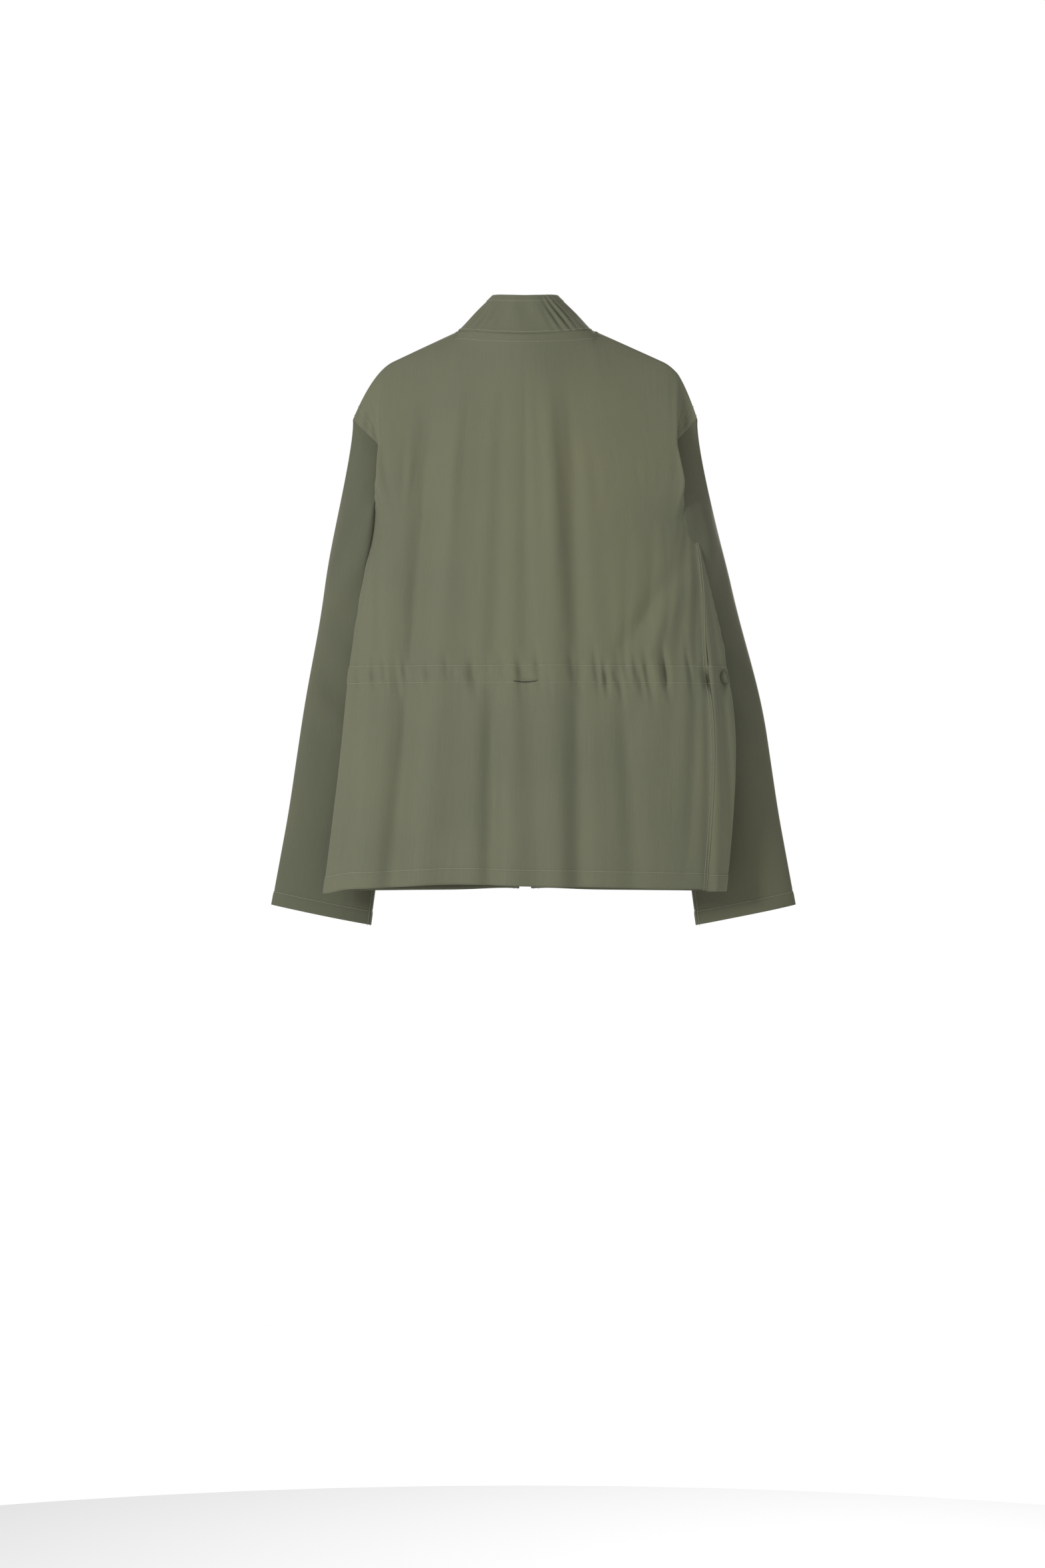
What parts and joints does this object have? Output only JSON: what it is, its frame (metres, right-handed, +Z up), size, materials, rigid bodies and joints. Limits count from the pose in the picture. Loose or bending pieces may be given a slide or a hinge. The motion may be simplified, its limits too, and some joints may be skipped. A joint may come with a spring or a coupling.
{
  "type": "field jacket",
  "caption": "Olive cotton field jacket with a stand collar, front zip, flapped pockets, a waist drawcord and plain hemmed sleeves, hanging as on a coat hanger.",
  "frame": {"origin": "where the neck of the hanger passes, at the height of the back neck seam", "axes": "+Z up, the jacket's front faces -Y, the wearer's left is +X"},
  "size_m": [0.6732, 0.164, 0.8236],
  "materials": {
    "olive_cotton": "woven matt",
    "lining_cotton": "woven matt",
    "zip_tape": "woven matt",
    "dark_brass": "dulled",
    "cord": "braided",
    "label_cloth": "satin weave"
  },
  "bodies": {
    "shell": {"back_panel": "olive_cotton", "front_panel_left": "olive_cotton", "front_panel_right": "olive_cotton", "collar_outer": "olive_cotton", "collar_facing": "lining_cotton", "waist_casing": "lining_cotton", "drawcord": "cord", "drawcord_knot_left": "cord", "drawcord_knot_right": "cord", "zip_teeth_left": "dark_brass", "zip_teeth_right": "dark_brass", "zip_tape_left": "zip_tape", "zip_tape_right": "zip_tape", "zip_top_stop_left": "dark_brass", "zip_top_stop_right": "dark_brass", "zip_retainer": "dark_brass", "wind_guard": "lining_cotton", "chest_pocket_left": "olive_cotton", "chest_pocket_right": "olive_cotton", "hip_pocket_left": "olive_cotton", "hip_pocket_right": "olive_cotton", "chest_pocket_stud_left": "dark_brass", "chest_pocket_stud_right": "dark_brass", "hip_pocket_stud_left": "dark_brass", "hip_pocket_stud_right": "dark_brass", "hang_loop": "zip_tape", "neck_label": "label_cloth"},
    "left_sleeve": {"sleeve_left": "olive_cotton"},
    "right_sleeve": {"sleeve_right": "olive_cotton"},
    "slider": {"zip_slider": "dark_brass", "zip_bridge": "dark_brass"},
    "pull": {"zip_pull": "dark_brass"},
    "chest_flap_left": {"chest_pocket_flap_left": "olive_cotton", "chest_pocket_cap_left": "dark_brass"},
    "chest_flap_right": {"chest_pocket_flap_right": "olive_cotton", "chest_pocket_cap_right": "dark_brass"},
    "hip_flap_left": {"hip_pocket_flap_left": "olive_cotton", "hip_pocket_cap_left": "dark_brass"},
    "hip_flap_right": {"hip_pocket_flap_right": "olive_cotton", "hip_pocket_cap_right": "dark_brass"}
  },
  "joints": [
    {"name": "sleeve_swing_left", "type": "hinge", "parent": "shell", "child": "left_sleeve", "pos_m": [0.2274, 0, -0.108], "axis": [0, -1, 0], "range_deg": [0, 35]},
    {"name": "sleeve_swing_right", "type": "hinge", "parent": "shell", "child": "right_sleeve", "pos_m": [-0.2274, 0, -0.108], "axis": [0, 1, 0], "range_deg": [0, 35]},
    {"name": "zip_slide", "type": "slide", "parent": "shell", "child": "slider", "axis": [0, 0.0257, 0.9997], "range_m": [-0.67, 0]},
    {"name": "pull_swing", "type": "hinge", "parent": "slider", "child": "pull", "pos_m": [0, -0.06213, -0.02606], "axis": [-1, 0, 0], "range_deg": [0, 150]},
    {"name": "chest_flap_lift_left", "type": "hinge", "parent": "shell", "child": "chest_flap_left", "pos_m": [0.09557, -0.05798, -0.19106], "axis": [-0.9924, -0.1227, 0.0028], "range_deg": [0, 110]},
    {"name": "chest_flap_lift_right", "type": "hinge", "parent": "shell", "child": "chest_flap_right", "pos_m": [-0.09557, -0.05798, -0.19106], "axis": [-0.9924, 0.1227, -0.0028], "range_deg": [0, 110]},
    {"name": "hip_flap_lift_left", "type": "hinge", "parent": "shell", "child": "hip_flap_left", "pos_m": [0.09654, -0.06583, -0.48587], "axis": [-0.9932, -0.1162, -0.0002], "range_deg": [0, 110]},
    {"name": "hip_flap_lift_right", "type": "hinge", "parent": "shell", "child": "hip_flap_right", "pos_m": [-0.09654, -0.06583, -0.48587], "axis": [-0.9932, 0.1162, 0.0002], "range_deg": [0, 110]}
  ]
}
